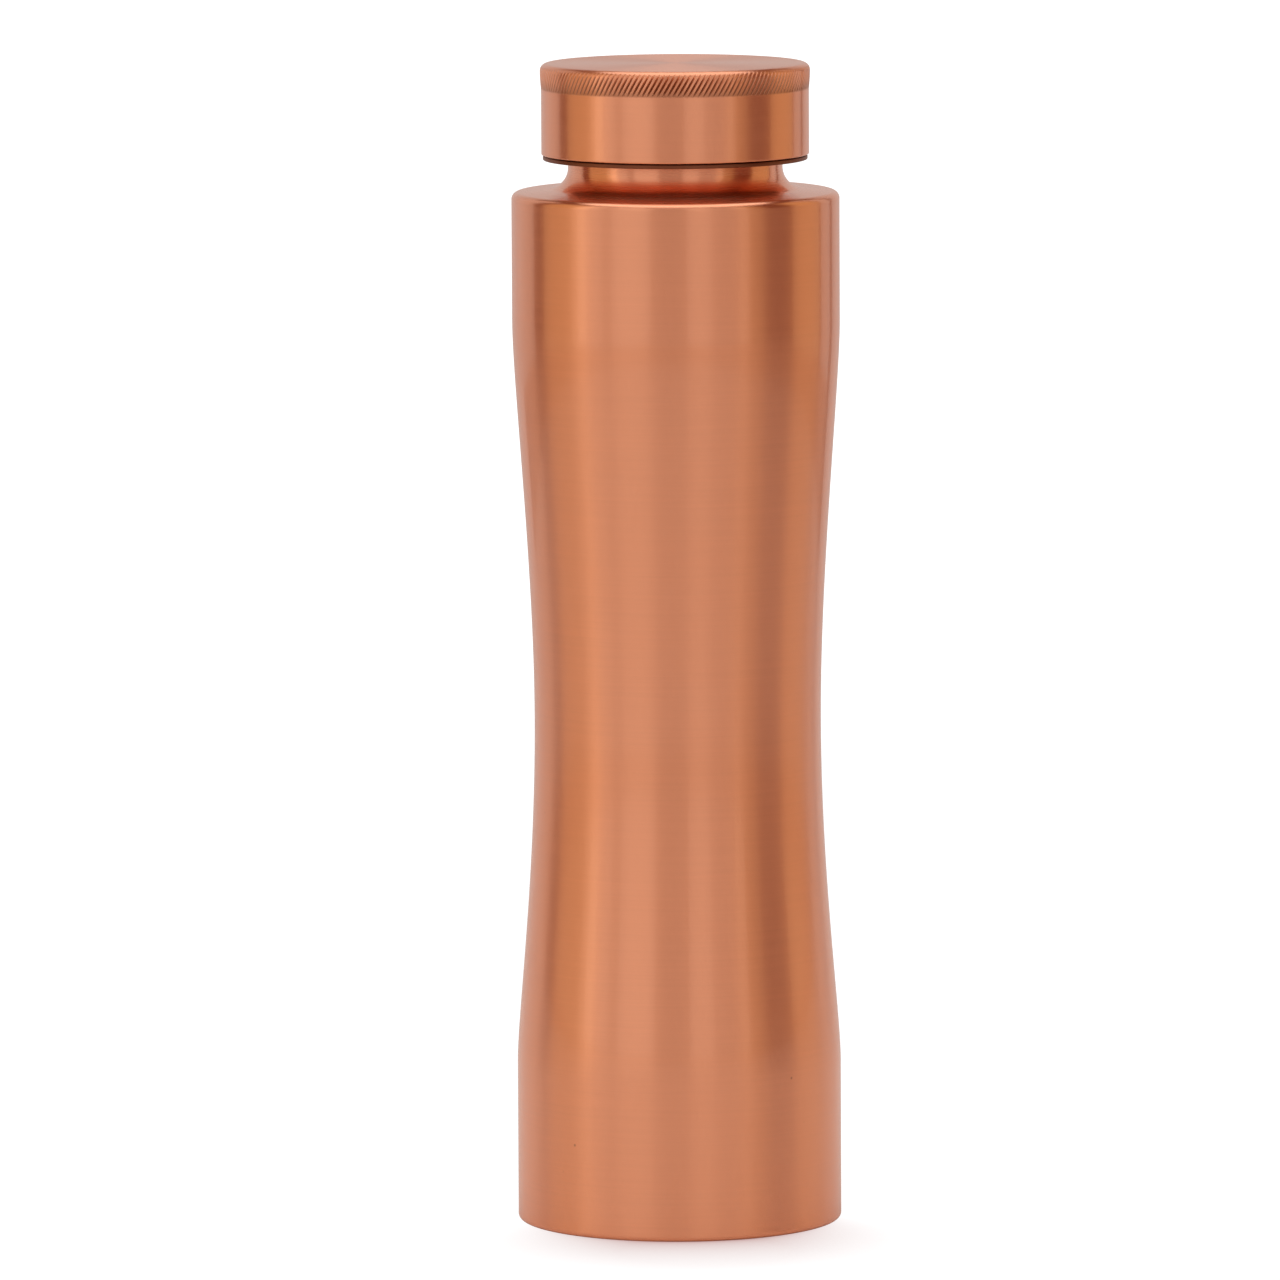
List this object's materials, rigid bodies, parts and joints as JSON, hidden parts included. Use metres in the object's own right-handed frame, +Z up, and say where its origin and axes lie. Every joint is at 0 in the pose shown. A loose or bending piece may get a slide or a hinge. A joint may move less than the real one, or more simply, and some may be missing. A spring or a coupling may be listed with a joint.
{
  "type": "copper water bottle",
  "caption": "Waisted copper water bottle with a straight top and foot, a short neck and a knurled screw cap that unscrews and lifts off the threaded mouth.",
  "frame": {"origin": "centre of the foot, on the surface that the bottle stands on", "axes": "+Z up along the bottle's axis, towards the cap; X and Y are any two directions across it, with the thread's start on +X"},
  "size_m": [0.076, 0.076, 0.27],
  "materials": {
    "body_copper": "satin copper, finely brushed round the axis",
    "base_copper": "dull satin copper, lightly worn",
    "cap_copper": "satin copper, brushed, with a diagonal knurled band",
    "thread_copper": "turned copper, slightly darker in the thread",
    "disc_copper": "plain sheet copper",
    "silicone": "translucent white silicone, matt"
  },
  "bodies": {
    "bottle": {"body_shell": "body_copper", "base_pan": "base_copper", "mouth_ring": "thread_copper"},
    "washer": {"sealing_washer": "silicone"},
    "cap": {"cap_shell": "cap_copper", "cap_sleeve": "thread_copper", "cap_disc": "disc_copper"}
  },
  "joints": [
    {"name": "cap_rise", "type": "slide", "parent": "bottle", "child": "washer", "axis": [0, 0, 1], "range_m": [0, 0.02]},
    {"name": "cap_turn", "type": "hinge", "parent": "washer", "child": "cap", "pos_m": [0, 0, 0.25], "axis": [0, 0, 1], "range_deg": [0, 1800]}
  ],
  "couplings": [
    {"joint": "cap_rise", "follows": "cap_turn", "m_per_rad": 0.00063662}
  ]
}
